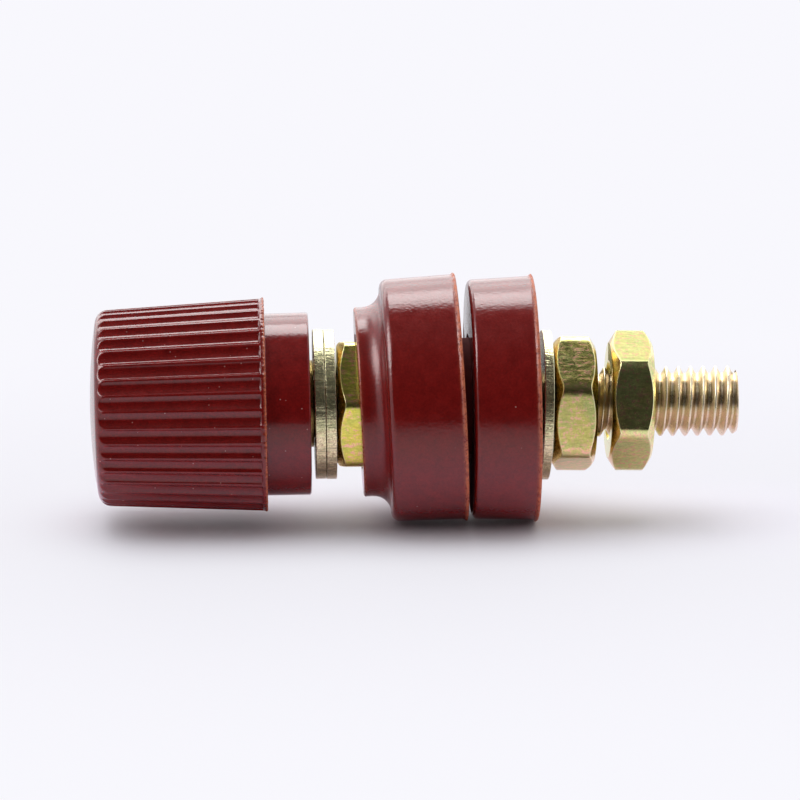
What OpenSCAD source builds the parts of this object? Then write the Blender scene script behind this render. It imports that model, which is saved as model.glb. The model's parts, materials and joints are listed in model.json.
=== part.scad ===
// Insulated binding post with a screw-down knob, made to be fixed through a panel.
// The stud's axis lies along X: the knob is towards -X, the terminal thread towards +X.
// The origin is on that axis, in the face of the front insulator that seats on the panel.
// Millimetres. The loose pieces hang on the stud with the slack of an untightened post.

/* [Thread] */
// Outside diameter of the stud's thread
thread_d = 3.96; // [3.4:0.01:5]
// Distance from one turn of the thread to the next
thread_pitch = 0.7; // [0.5:0.05:1]
// Radial clearance between the stud and a tapped hole
thread_clearance = 0.14; // [0.12:0.01:0.2]
// Turns of thread that hold the knob when it is screwed home
knob_turns = 8; // [5:1:9]
// Length of stud left free beyond the terminal nut
stud_free_len = 4.85; // [2:0.01:12]

/* [Knob] */
// Length of the fluted grip, with its domed end
grip_len = 9.89; // [8:0.1:16]
// Grip diameter at the domed end, before its edge is rounded
grip_tip_d = 11; // [9:0.1:16]
// Grip diameter at the open end
grip_rim_d = 12; // [9.5:0.1:17]
// How far the dome swells out of the grip's end
dome_rise = 0.46; // [0.1:0.02:1]
// Radius of the edge round the dome
dome_edge_r = 0.75; // [0.3:0.05:1.5]
// Number of flutes round the grip
flute_count = 39; // [24:1:48]
// Turn of the flutes about the knob's axis, in degrees
flute_turn = 1.4; // [0:0.1:9]
// Radius of the round bottom of a flute
flute_r = 0.55; // [0.4:0.05:0.8]
// Depth of a flute below the ridges
flute_depth = 0.15; // [0.05:0.01:0.25]
// Width of the plain rim that closes the flutes
rim_w = 0.28; // [0.15:0.01:1]
// Diameter of the smooth collar behind the grip
knob_collar_d = 10.3; // [8:0.1:12]
// Length of that collar
knob_collar_len = 2.47; // [1:0.1:5]
// Radius of the collar's edge
knob_collar_edge_r = 0.12; // [0.05:0.01:0.4]

/* [Knob insert] */
// Wall of the brass neck that shows at the collar
insert_neck_wall = 0.33; // [0.2:0.01:0.9]
// How far the neck stands out of the collar
insert_proud = 0.21; // [0.1:0.01:0.8]
// Length of the neck inside the collar
insert_neck_len = 1; // [0.5:0.1:2]
// Wall of the moulded-in hexagonal part, at its flats
insert_hex_wall = 1.08; // [0.95:0.01:1.6]
// Room left in the tapped hole beyond the end of the stud
insert_end_room = 1.2; // [0.5:0.1:1.5]
// Solid brass left beyond the tapped hole
insert_end_wall = 1; // [0.5:0.1:1.5]
// Gap between the brass and the plastic moulded round it
moulding_gap = 0.01; // [0.005:0.005:0.05]

/* [Washers] */
// Outside diameter of every washer
washer_d = 8.46; // [7:0.01:10]
// Radial clearance of a washer's hole on the stud
washer_clearance = 0.22; // [0.18:0.01:0.4]
// Thickness of each of the two clamp washers in front of the knob
clamp_washer_t = 0.58; // [0.4:0.01:1.2]
// Thickness of the washer behind the rear insulator
rear_washer_t = 0.53; // [0.4:0.01:1.2]
// Radius of the washers' blunted edges
washer_edge_r = 0.05; // [0.02:0.01:0.15]

/* [Nuts] */
// Size across the flats of every nut
nut_af = 7; // [6.4:0.1:8]
// How much the nuts' corners are blunted, measured across two of them
nut_blunting = 0.17; // [0.05:0.01:0.5]
// How much smaller than the nut the flat ring inside its chamfers is
nut_face_step = 0.44; // [0.1:0.02:0.8]
// Height of the chamfers that cut the corners
nut_chamfer_h = 0.43; // [0.1:0.01:0.6]
// Depth of the countersink at each mouth of a tapped hole
nut_sink = 0.3; // [0.1:0.05:0.5]
// Thickness of every nut
nut_t = 2.4; // [2:0.01:4]
// Height of a corner of the front nut above level, in degrees
front_nut_turn = 12; // [0:1:60]
// Height of a corner of the panel nut above level, in degrees
panel_nut_turn = 26; // [0:1:60]
// Height of a corner of the terminal nut above level, in degrees
terminal_nut_turn = 44.6; // [0:0.1:60]

/* [Front insulator] */
// Wall of the collar in front of the flange, at the corners of the nut's recess
collar_wall = 0.94; // [0.4:0.01:1.4]
// Length of the collar, up to the front of the flange
collar_len = 1.51; // [1.1:0.01:4]
// Radius of the collar's outer edge
collar_edge_r = 0.12; // [0.05:0.01:0.4]
// Radius of the hollow between the collar and the flange
neck_fillet_r = 0.99; // [0.2:0.01:1]
// Radius of the flange's shoulder
shoulder_r = 0.45; // [0.2:0.05:0.6]
// Length of the flange, up to the panel
flange_len = 4.28; // [3:0.1:8]
// Flange diameter at the shoulder
flange_front_d = 13.65; // [13.4:0.05:18]
// Flange diameter at the panel
flange_rear_d = 13.85; // [13.4:0.05:18]
// Diameter of the spigot that lines the panel's hole
spigot_d = 6.6; // [6:0.1:8]
// Length of the spigot behind the flange
spigot_len = 2.1; // [1:0.1:3]
// Radius of the spigot's edge
spigot_edge_r = 0.2; // [0.05:0.01:0.4]
// How far the front nut stands out of its hexagonal recess
front_nut_proud = 1.25; // [0.5:0.05:1.8]
// Clearance between the front nut and each side and the floor of its recess
nut_recess_clearance = 0.32; // [0.3:0.01:0.6]
// Radial clearance of the insulators' bores on the stud
bore_clearance = 0.55; // [0.42:0.01:0.66]
// How much of that clearance the leaning front insulator leaves at the end of its spigot
bore_slack = 0.065; // [0.02:0.005:0.2]
// How far the front insulator's collar rides up off the middle of the stud
front_insulator_lift = 0.1; // [0:0.01:0.12]

/* [Rear insulator] */
// Thickness left behind the recess that takes the spigot
rear_floor_t = 1.1; // [0.5:0.1:5]
// Rear insulator's diameter at the panel
rear_front_d = 13.5; // [11:0.05:18]
// Rear insulator's diameter at the washer
rear_rear_d = 13.8; // [11:0.05:18]
// Radius of its edge at the panel
rear_edge_r = 0.32; // [0.1:0.01:0.8]
// Radial clearance between the spigot and the recess that takes it
spigot_clearance = 0.4; // [0.35:0.01:0.8]
// Clearance between the spigot's end and the recess's floor, with no panel between them
spigot_end_clearance = 0.5; // [0.3:0.05:0.7]

/* [Moulding flash] */
// Height of the flash line left round each moulding
flash_h = 0.12; // [0.04:0.01:0.2]
// Width of the flash line on the insulators
flash_w = 0.22; // [0.1:0.01:0.5]

/* [Slack, each the least gap between two leaning pieces] */
// Between the front nut, the two clamp washers and the knob's brass neck
clamp_slack = 0.03; // [0.02:0.01:0.3]
// Between the two insulators, where the panel goes
panel_gap = 0.22; // [0.2:0.01:4]
// Between the rear insulator and its washer
rear_washer_slack = 0.13; // [0.05:0.01:1]
// Between the rear washer and the panel nut
panel_nut_slack = 0.11; // [0.05:0.01:1]
// Between the panel nut and the terminal nut
terminal_nut_slack = 0.81; // [0.05:0.01:4]

/* [Lean of the loose pieces] */
// Lean of the knob, in degrees, top towards the knob's end
knob_lean = 0.8; // [0:0.1:1]
// Lean of the two clamp washers
clamp_washer_lean = 1; // [0:0.1:1.2]
// Lean of the rear insulator
rear_insulator_lean = 0.9; // [0:0.1:1.5]
// Lean of the rear washer, the other way
rear_washer_lean = 1.4; // [0:0.1:2]
// Lean of the panel nut and the terminal nut, the other way
nut_lean = 1; // [0:0.1:1]
// How far the rear insulator rides up off the middle of the stud
rear_insulator_lift = 0.24; // [0:0.01:0.3]
// How far the rear washer hangs down
rear_washer_drop = 0.15; // [0:0.01:0.16]
// How far the panel nut hangs down in its thread
panel_nut_drop = 0.09; // [0:0.01:0.09]
// How far the terminal nut rides up in its thread
terminal_nut_lift = 0.07; // [0:0.01:0.09]

/* [Hidden] */

$fn = 96;
arc_steps = 8;          // straight steps in a rounded corner of an outline
dome_steps = 5;         // straight steps from the dome's middle to its edge
flute_steps = 32;       // flat sides of the round bar that cuts a flute
cut = 1;                // how far a cutting shape runs past what it cuts

bakelite = "firebrick";
zinc = "darkkhaki";
bare_brass = "goldenrod";

// Radii of what shares the stud
thread_r = thread_d / 2;
tapped_r = thread_r + thread_clearance;
washer_bore_r = thread_r + washer_clearance;
insulator_bore_r = thread_r + bore_clearance;
insert_neck_r = tapped_r + insert_neck_wall;

// Nuts
nut_corner_d = nut_af / cos(30) - nut_blunting;
nut_face_d = nut_af - nut_face_step;
nut_mouth_r = tapped_r + nut_sink / 2;

// Insulators: the front one leans as far as its bore lets it, about its collar
nut_recess_af = nut_af + 2 * nut_recess_clearance;
nut_recess_depth = nut_t - front_nut_proud + nut_recess_clearance;
collar_d = nut_recess_af / cos(30) + 2 * collar_wall;
insulator_len = collar_len + flange_len;
front_insulator_lean =
    asin((bore_clearance - bore_slack - front_insulator_lift) / (insulator_len + spigot_len));
spigot_r = spigot_d / 2;
spigot_recess_r = spigot_r + spigot_clearance;
spigot_recess_depth = spigot_len + spigot_end_clearance;
rear_insulator_len = spigot_recess_depth + rear_floor_t;

// Room along the stud for two faces of radius r that lean differently
function lean_room(r, lean_a, lean_b) = r * tan(abs(lean_a - lean_b));

// Places along the stud, each from the piece it seats on
collar_face_x = -insulator_len;
front_nut_x = collar_face_x - front_nut_proud;
inner_washer_x =
    front_nut_x - clamp_slack - lean_room(nut_face_d / 2, 0, clamp_washer_lean) - clamp_washer_t;
outer_washer_x = inner_washer_x - clamp_slack - clamp_washer_t;
insert_x = outer_washer_x - clamp_slack - lean_room(insert_neck_r, clamp_washer_lean, knob_lean);
knob_face_x = insert_x - insert_proud;
rim_x = knob_face_x - knob_collar_len;
dome_x = rim_x - grip_len;
rear_insulator_x =
    panel_gap + lean_room(flange_rear_d / 2 + flash_h, front_insulator_lean, rear_insulator_lean);
rear_washer_x = rear_insulator_x + rear_insulator_len + rear_washer_slack
    + lean_room(washer_d / 2, rear_insulator_lean, -rear_washer_lean);
panel_nut_x = rear_washer_x + rear_washer_t + panel_nut_slack
    + lean_room(nut_face_d / 2, rear_washer_lean, nut_lean);
terminal_nut_x = panel_nut_x + nut_t + terminal_nut_slack;
stud_tip_x = terminal_nut_x + nut_t + stud_free_len;

// Stud
engaged_len = knob_turns * thread_pitch;
stud_front_x = insert_x - engaged_len;
stud_len = stud_tip_x - stud_front_x;
stud_end_r = thread_r - 0.35 * thread_pitch;
stud_end_chamfer = thread_pitch / 2;

// Knob
knob_len = grip_len + knob_collar_len;
grip_taper = atan((grip_rim_d - grip_tip_d) / 2 / (grip_len - dome_rise));
dome_r = (pow(grip_tip_d / 2, 2) + pow(dome_rise, 2)) / 2 / dome_rise;
dome_reach = grip_tip_d / 2 - 2 * dome_edge_r;      // where the dome gives way to its edge
tapped_len = engaged_len + insert_end_room;
insert_af = 2 * (tapped_r + insert_hex_wall);
insert_len = tapped_len + insert_end_wall;
insert_hex_len = insert_len - insert_neck_len - insert_proud;
insert_z = knob_len + insert_proud - insert_len;    // from the dome's middle

// ---- Shared shapes ----

function unit(v) = v / norm(v);
function flat(v) = [v.x, v.y];

// Length of the edge from a to b that the rounding at a may use; the rest is b's
function edge_share(a, b) = norm(flat(b - a)) * a.z / (a.z + b.z);

// Points that round corner b, between a and c: each is [radius, height, corner radius].
// The corner radius is limited where the walls beside it are too short for it.
function round_corner(a, b, c) =
    b.z == 0 ? [flat(b)] :
    let (
        to_a = unit(flat(a - b)),
        to_c = unit(flat(c - b)),
        half = acos(to_a * to_c) / 2,
        r = min(b.z, 0.98 * tan(half) * min(edge_share(b, a), edge_share(b, c))),
        centre = flat(b) + unit(to_a + to_c) * r / sin(half),
        start = flat(b) + to_a * r / tan(half) - centre,
        finish = flat(b) + to_c * r / tan(half) - centre,
        from = atan2(start.y, start.x),
        sweep = (atan2(finish.y, finish.x) - from + 540) % 360 - 180
    )
    [for (i = [0:arc_steps])
        let (at = from + sweep * i / arc_steps)
        centre + r * [cos(at), sin(at)]];

// An outline with its corners rounded
function rounded(outline) =
    let (n = len(outline))
    [for (i = [0:n - 1])
        each round_corner(outline[(i + n - 1) % n], outline[i], outline[(i + 1) % n])];

// A turned or round-moulded piece, from its outline
module turned(outline) {
    rotate_extrude() polygon(rounded(outline));
}

// A hexagonal prism, given the size across its flats
module hexagon(af, h) {
    cylinder(d = af / cos(30), h = h, $fn = 6);
}

// Puts a piece that was drawn up the Z axis on the stud, with its first face at x.
// A positive lean brings its top towards the knob; it turns about a point up its axis.
module on_stud(x, lean = 0, pivot = 0, lift = 0) {
    translate([x + pivot, 0, lift])
        rotate([0, 90 - lean, 0])
            translate([0, 0, -pivot])
                children();
}

// Turns a piece about its axis, to lift the corner nearest the front by this angle
module corner_up(angle) {
    rotate([0, 0, -90 - angle]) children();
}

module washer(t) {
    turned([
        [washer_bore_r, 0, 0],
        [washer_d / 2, 0, washer_edge_r],
        [washer_d / 2, t, washer_edge_r],
        [washer_bore_r, t, 0]
    ]);
}

// Hexagonal nut with both ends chamfered and both mouths countersunk
module nut() {
    intersection() {
        hexagon(nut_af, nut_t);
        turned([
            [nut_mouth_r, 0, 0],
            [nut_face_d / 2, 0, 0],
            [nut_corner_d / 2, nut_chamfer_h, 0],
            [nut_corner_d / 2, nut_t - nut_chamfer_h, 0],
            [nut_face_d / 2, nut_t, 0],
            [nut_mouth_r, nut_t, 0],
            [tapped_r, nut_t - nut_sink, 0],
            [tapped_r, nut_sink, 0]
        ]);
    }
}

// The brass moulded into the knob, grown by a gap to make its hollow in the plastic
module insert_body(gap) {
    translate([0, 0, -gap])
        hexagon(insert_af + 2 * gap, insert_hex_len + 2 * gap);
    translate([0, 0, insert_hex_len - gap])
        cylinder(
            r = insert_neck_r + gap,
            h = insert_neck_len + insert_proud + (gap > 0 ? cut : 0) + gap
        );
}

// ---- Pieces ----

// Threaded brass rod that carries every other piece
module stud() {
    color(zinc)
        on_stud(stud_front_x)
            turned([
                [0, 0, 0],
                [stud_end_r, 0, 0],
                [thread_r, stud_end_chamfer, 0],
                [thread_r, stud_len - stud_end_chamfer, 0],
                [stud_end_r, stud_len, 0],
                [0, stud_len, 0]
            ]);
}

// Nut that stops the stud from turning in the front insulator
module front_nut() {
    color(zinc)
        on_stud(front_nut_x)
            corner_up(front_nut_turn)
                nut();
}

// Moulding in front of the panel: collar with a hexagonal recess, flange and spigot
module front_insulator() {
    color(bakelite)
        on_stud(collar_face_x, front_insulator_lean, lift = front_insulator_lift)
            difference() {
                turned([
                    [insulator_bore_r, 0, 0],
                    [collar_d / 2, 0, collar_edge_r],
                    [collar_d / 2, collar_len, neck_fillet_r],
                    [flange_front_d / 2, collar_len, shoulder_r],
                    [flange_rear_d / 2, insulator_len - flash_w, 0],
                    [flange_rear_d / 2 + flash_h, insulator_len - flash_w / 2, 0],
                    [flange_rear_d / 2 + flash_h, insulator_len, 0],
                    [spigot_r, insulator_len, 0],
                    [spigot_r, insulator_len + spigot_len, spigot_edge_r],
                    [insulator_bore_r, insulator_len + spigot_len, 0]
                ]);
                translate([0, 0, -cut])
                    corner_up(front_nut_turn)
                        hexagon(nut_recess_af, nut_recess_depth + cut);
            }
}

// The two loose washers that grip a wire in front of the knob
module inner_clamp_washer() {
    color(zinc)
        on_stud(inner_washer_x, clamp_washer_lean, clamp_washer_t / 2)
            washer(clamp_washer_t);
}

module outer_clamp_washer() {
    color(zinc)
        on_stud(outer_washer_x, clamp_washer_lean, clamp_washer_t / 2)
            washer(clamp_washer_t);
}

// Everything on the knob leans about the middle of its thread
module on_knob() {
    on_stud(dome_x, knob_lean, stud_front_x + engaged_len / 2 - dome_x) children();
}

// One flute: a round bar laid along the tapered grip, out past the domed end
module flute_cutter() {
    translate([grip_rim_d / 2, 0, grip_len - rim_w])
        rotate([0, grip_taper, 0])
            translate([flute_r - flute_depth, 0, -grip_len - cut])
                cylinder(r = flute_r, h = grip_len + cut, $fn = flute_steps);
}

// Fluted, tapered grip with a domed end and a smooth collar, in one moulding
module knob_cap() {
    color(bakelite)
        on_knob()
            difference() {
                turned([
                    for (i = [0:dome_steps])
                        let (r = dome_reach * i / dome_steps)
                        [r, dome_r - sqrt(dome_r * dome_r - r * r), 0],
                    [grip_tip_d / 2, dome_rise, dome_edge_r],
                    [grip_rim_d / 2, grip_len, 0],
                    [knob_collar_d / 2, grip_len, 0],
                    [knob_collar_d / 2, knob_len, knob_collar_edge_r],
                    [0, knob_len, 0]
                ]);
                for (i = [0:flute_count - 1])
                    rotate([0, 0, (i + 0.5) * 360 / flute_count + flute_turn])
                        flute_cutter();
                translate([0, 0, insert_z])
                    insert_body(moulding_gap);
            }
}

// Tapped brass insert that the grip is moulded round; its hexagon stops it from turning
module knob_insert() {
    color(bare_brass)
        on_knob()
            translate([0, 0, insert_z])
                difference() {
                    insert_body(0);
                    translate([0, 0, insert_end_wall])
                        cylinder(r = tapped_r, h = tapped_len + cut);
                }
}

// Moulding behind the panel, with a recess for the spigot
module rear_insulator() {
    color(bakelite)
        on_stud(
            rear_insulator_x, rear_insulator_lean, rear_insulator_len / 2, rear_insulator_lift
        )
            turned([
                [spigot_recess_r, 0, 0],
                [rear_front_d / 2, 0, rear_edge_r],
                [rear_rear_d / 2, rear_insulator_len - flash_w, 0],
                [rear_rear_d / 2 + flash_h, rear_insulator_len - flash_w / 2, 0],
                [rear_rear_d / 2 + flash_h, rear_insulator_len, 0],
                [insulator_bore_r, rear_insulator_len, 0],
                [insulator_bore_r, spigot_recess_depth, 0],
                [spigot_recess_r, spigot_recess_depth, 0]
            ]);
}

module rear_washer() {
    color(zinc)
        on_stud(rear_washer_x, -rear_washer_lean, rear_washer_t / 2, -rear_washer_drop)
            washer(rear_washer_t);
}

// Nut that pulls both insulators against the panel
module panel_nut() {
    color(zinc)
        on_stud(panel_nut_x, -nut_lean, nut_t / 2, -panel_nut_drop)
            corner_up(panel_nut_turn)
                nut();
}

// Nut that grips the wire's terminal against the panel nut
module terminal_nut() {
    color(zinc)
        on_stud(terminal_nut_x, -nut_lean, nut_t / 2, terminal_nut_lift)
            corner_up(terminal_nut_turn)
                nut();
}

stud();
front_nut();
front_insulator();
inner_clamp_washer();
outer_clamp_washer();
knob_cap();
knob_insert();
rear_insulator();
rear_washer();
panel_nut();
terminal_nut();
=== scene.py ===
import json
import bmesh
import bpy
import numpy as np
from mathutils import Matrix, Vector


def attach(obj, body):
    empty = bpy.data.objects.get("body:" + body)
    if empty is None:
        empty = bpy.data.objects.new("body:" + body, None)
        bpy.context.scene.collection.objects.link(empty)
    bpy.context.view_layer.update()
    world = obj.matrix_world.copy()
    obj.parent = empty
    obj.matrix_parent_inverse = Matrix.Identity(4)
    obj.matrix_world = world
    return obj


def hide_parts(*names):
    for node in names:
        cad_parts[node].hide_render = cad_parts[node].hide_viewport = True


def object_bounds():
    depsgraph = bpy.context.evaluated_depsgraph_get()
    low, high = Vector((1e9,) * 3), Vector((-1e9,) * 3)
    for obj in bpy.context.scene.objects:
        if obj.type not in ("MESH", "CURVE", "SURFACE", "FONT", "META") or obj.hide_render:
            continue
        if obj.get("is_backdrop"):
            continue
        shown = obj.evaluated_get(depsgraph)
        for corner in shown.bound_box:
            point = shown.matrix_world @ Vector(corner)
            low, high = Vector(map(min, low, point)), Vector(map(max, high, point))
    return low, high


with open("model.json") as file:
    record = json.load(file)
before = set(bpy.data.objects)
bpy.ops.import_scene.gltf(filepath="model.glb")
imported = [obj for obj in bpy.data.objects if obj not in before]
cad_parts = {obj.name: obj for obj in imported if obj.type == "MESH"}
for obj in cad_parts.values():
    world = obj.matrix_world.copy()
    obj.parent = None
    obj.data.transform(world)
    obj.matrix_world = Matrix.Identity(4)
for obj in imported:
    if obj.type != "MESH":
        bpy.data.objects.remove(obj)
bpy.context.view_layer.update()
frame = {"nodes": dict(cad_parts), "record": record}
print("frame loaded:", len(frame["nodes"]), "nodes")

mm = 0.001
tau = 2 * np.pi

# Sizes in millimetres. x runs along the stud from the panel face, as in the frame.
stack = {
    "threadRadius": 1.98,
    "pitch": 0.7,
    "tapRadius": 2.12,  # bore of the tapped holes
    "insulatorBore": 2.53,
    "washerBore": 2.2,
    "washerRadius": 4.23,
}


# The smaller of two values, with a rounded change from one to the other: their least, less
# log(1 + exp(-gap x sharpness)) / sharpness
def softMin(a, b, sharpness):
    return np.minimum(a, b) - np.log1p(np.exp(-np.abs(a - b) * sharpness)) / sharpness


# The larger of two values, by the same formula with the signs turned
def softMax(a, b, sharpness):
    return -softMin(-a, -b, sharpness)


# Rises evenly from 0 at the start to 1 a width further on
def ramp(value, start, width):
    return np.clip((value - start) / width, 0, 1)


# A bell curve: exp of minus the square of the distance from its middle, counted in widths
def bell(value, middle, width):
    return np.exp(-((value - middle) / width) ** 2)


# A smooth wave round a circle: a sum of sines with seeded sizes and phases, within about -1 to 1
def roundWave(theta, seed, lowest, highest):
    rng = np.random.default_rng(seed)
    counts = np.arange(lowest, highest)
    sizes = rng.normal(size=len(counts)) / np.sqrt(len(counts))
    phases = rng.uniform(0, tau, len(counts))
    return np.tensordot(sizes, np.sin(counts[:, None] * theta[None] + phases[:, None]), 1)


# A path through corners (x, r, radius): each corner becomes an arc that touches both of its
# walls, with one more point along each wall to keep the flat parts flat, at the distance hold
# or at the share most of what is left of the wall
def roundedPath(corners, steps, hold=0.05, most=0.4):
    corners = np.array(corners, float)
    pieces = []
    for i, (x, r, radius) in enumerate(corners):
        corner = np.array([x, r])
        if radius == 0:
            pieces.append(corner[None])
            continue
        back = corners[i - 1, :2] - corner
        ahead = corners[(i + 1) % len(corners), :2] - corner
        backLength = np.linalg.norm(back)
        aheadLength = np.linalg.norm(ahead)
        back = back / backLength
        ahead = ahead / aheadLength
        half = np.arccos(np.clip(back @ ahead, -1, 1)) / 2
        reach = radius / np.tan(half)
        middle = corner + (back + ahead) / np.linalg.norm(back + ahead) * radius / np.sin(half)
        start = corner + back * reach
        finish = corner + ahead * reach
        first = np.arctan2(*(start - middle)[::-1])
        last = np.arctan2(*(finish - middle)[::-1])
        sweep = (last - first + np.pi) % tau - np.pi
        angles = first + sweep * np.linspace(0, 1, steps + 1)
        arc = middle + radius * np.stack([np.cos(angles), np.sin(angles)], 1)
        pieces.append((start + back * min(hold, (backLength - reach) * most))[None])
        pieces.append(arc)
        pieces.append((finish + ahead * min(hold, (aheadLength - reach) * most))[None])
    return np.concatenate(pieces)


# The same path with its long stretches cut into steps no longer than this, or into finer ones
# past the place fineFrom
def densePath(path, step, fineStep=None, fineFrom=np.inf):
    lengths = np.linalg.norm(np.diff(path, axis=0), axis=1)
    middles = (path[1:, 0] + path[:-1, 0]) / 2
    steps = np.where(middles > fineFrom, fineStep or step, step)
    counts = np.maximum(1, np.ceil(lengths / steps)).astype(int)
    owner = np.repeat(np.arange(len(counts)), counts)
    share = (np.arange(counts.sum()) - np.repeat(np.cumsum(counts) - counts, counts)) / counts[owner]
    inside = path[owner] + (path[owner + 1] - path[owner]) * share[:, None]
    return np.concatenate([inside, path[-1:]])


# A path's x and r, each repeated over the columns of a grid
def pathGrids(path, columns):
    return np.repeat(path[:, :1], columns, 1), np.repeat(path[:, 1:], columns, 1)


# Point of each grid place: (x, -r cos theta, r sin theta), so theta 0 faces the viewer and a
# quarter turn is up; then it leans about (pivot, 0, 0), top towards -X, and moves to its seat
def seated(x, r, theta, seat):
    lean = np.radians(seat.get("lean", 0))
    pivot = seat.get("pivot", 0)
    along = x - pivot
    up = r * np.sin(theta)
    return mm * np.stack([
        along * np.cos(lean) - up * np.sin(lean) + seat["x"] + pivot,
        -r * np.cos(theta),
        along * np.sin(lean) + up * np.cos(lean) + seat.get("lift", 0),
    ], -1)


def newObject(name, data):
    obj = bpy.data.objects.new(name, data)
    bpy.context.scene.collection.objects.link(obj)
    return obj


# Turns points, quads and triangles into a mesh object. Its volume, summed over the faces, is
# positive when they face outwards; if it isn't, every face is turned over.
def meshObject(name, points, quads, triangles, marks):
    halves = np.concatenate([quads[:, [0, 1, 2]], quads[:, [0, 2, 3]], triangles])
    a, b, c = (points[halves[:, k]] for k in range(3))
    if np.einsum("ij,ij->", a, np.cross(b, c)) < 0:
        quads, triangles = quads[:, ::-1], triangles[:, ::-1]
    mesh = bpy.data.meshes.new(name)
    mesh.vertices.add(len(points))
    mesh.vertices.foreach_set("co", points.astype(np.float32).ravel())
    loops = np.concatenate([quads.ravel(), triangles.ravel()]).astype(np.int32)
    mesh.loops.add(len(loops))
    mesh.loops.foreach_set("vertex_index", loops)
    starts = np.concatenate([np.arange(len(quads)) * 4, quads.size + np.arange(len(triangles)) * 3])
    mesh.polygons.add(len(starts))
    mesh.polygons.foreach_set("loop_start", starts.astype(np.int32))
    mesh.polygons.foreach_set("use_smooth", np.ones(len(starts), bool))
    mesh.update(calc_edges=True)
    for mark, values in marks.items():
        mesh.attributes.new(mark, "FLOAT", "POINT").data.foreach_set("value", values.astype(np.float32))
    return newObject(name, mesh)


# Triangles from the first row to the point numbered here, and from the last row to the next one
def endFans(index, middle):
    after = np.roll(index, -1, 1)
    point = np.full(index.shape[1], middle)
    return np.concatenate([np.stack([after[0], index[0], point], -1),
                           np.stack([index[-1], after[-1], point + 1], -1)])


# A turned surface from grids of x, r and theta: rows run along the profile and columns round
# the axis. Without poles the last row joins the first; with them each end row closes on a point.
def turnedObject(name, x, r, theta, seat, marks, poles=False):
    rows, columns = r.shape
    theta = np.broadcast_to(theta, r.shape)
    points = seated(np.broadcast_to(x, r.shape), r, theta, seat).reshape(-1, 3)
    index = np.arange(rows * columns).reshape(rows, columns)
    right = np.roll(index, -1, 1)
    nextRow = np.roll(index, -1, 0)
    nextRight = np.roll(right, -1, 0)
    used = rows - 1 if poles else rows
    quads = np.stack([index[:used], right[:used], nextRight[:used], nextRow[:used]], -1).reshape(-1, 4)
    triangles = np.zeros((0, 3), int)
    marks = {mark: np.broadcast_to(v, r.shape).ravel() for mark, v in marks.items()}
    if poles:
        middles = points.reshape(rows, columns, 3)[[0, -1]].mean(1)
        points = np.concatenate([points, middles])
        triangles = endFans(index, rows * columns)
        marks = {mark: np.append(v, [v[0], v[-1]]) for mark, v in marks.items()}
    return meshObject(name, points, quads, triangles, marks)


# Places round a circle, crowded towards the corners of a hexagon whose first corner is here:
# along a side, part of the angle grows evenly and part with the fifth power
def hexAngles(corner, perSide, even=0.55, crowded=0.45):
    share = np.linspace(-1, 1, perSide, endpoint=False)
    side = (even * share + crowded * share ** 5) * np.pi / 6
    middles = corner + np.pi / 6 + np.arange(6) * np.pi / 3
    return (middles[:, None] + side[None]).ravel()


# Radius of a hexagon with softened corners: half its width over the p-norm of the cosines of
# the angles to its six sides
def hexRadius(theta, width, corner, softness):
    middles = corner + np.pi / 6 + np.arange(6) * np.pi / 3
    cosines = np.maximum(np.cos(theta[..., None] - middles), 0)
    return width / 2 / (cosines ** softness).sum(-1) ** (1 / softness)


# Short forms for the nodes of one tree. An input that is a socket is linked, and any other
# value is set on the node.
class Nodes:
    def __init__(self, tree):
        self.tree = tree

    def add(self, kind, inputs=None, **settings):
        node = self.tree.nodes.new(kind)
        for name, value in settings.items():
            setattr(node, name, value)
        for name, value in (inputs or {}).items():
            if isinstance(value, bpy.types.NodeSocket):
                self.link(value, node, name)
            else:
                node.inputs[name].default_value = value
        return node

    def link(self, value, node, socket):
        self.tree.links.new(value, node.inputs[socket])

    def math(self, operation, a, b=0.0, clamp=False):
        return self.add("ShaderNodeMath", {0: a, 1: b}, operation=operation, use_clamp=clamp).outputs[0]

    def times(self, a, b, clamp=False):
        return self.math("MULTIPLY", a, b, clamp)

    def plus(self, a, b):
        return self.math("ADD", a, b)

    def span(self, value, low, high, outLow=0.0, outHigh=1.0, kind="LINEAR"):
        return self.add("ShaderNodeMapRange", {
            "Value": value, "From Min": low, "From Max": high, "To Min": outLow, "To Max": outHigh,
        }, interpolation_type=kind).outputs["Result"]

    def noise(self, vector, scale, detail, roughness, distortion=0.0):
        return self.add("ShaderNodeTexNoise", {
            "Vector": vector, "Scale": scale, "Detail": detail, "Roughness": roughness,
            "Distortion": distortion,
        }).outputs["Fac"]

    def mix(self, factor, a, b, blend="MIX"):
        return self.add("ShaderNodeMix", {0: factor, 6: a, 7: b}, data_type="RGBA",
                        blend_type=blend).outputs[2]

    def mark(self, name):
        return self.add("ShaderNodeAttribute", attribute_name=name).outputs["Fac"]

    def coordinates(self, kind):
        return self.add("ShaderNodeTexCoord").outputs[kind]

    def split(self, vector):
        return self.add("ShaderNodeSeparateXYZ", {0: vector}).outputs

    def grey(self, value):
        return self.add("ShaderNodeCombineColor", {0: value, 1: value, 2: value}).outputs[0]

    def bump(self, height, distance):
        return self.add("ShaderNodeBump", {
            "Height": height, "Strength": 1.0, "Distance": distance,
        }).outputs["Normal"]

    def mixShaders(self, share, first, second):
        return self.add("ShaderNodeMixShader", {0: share, 1: first.outputs[0], 2: second.outputs[0]})

    def surface(self, shader, kind="ShaderNodeOutputMaterial"):
        self.tree.links.new(shader.outputs[0], self.add(kind).inputs["Surface"])


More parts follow.
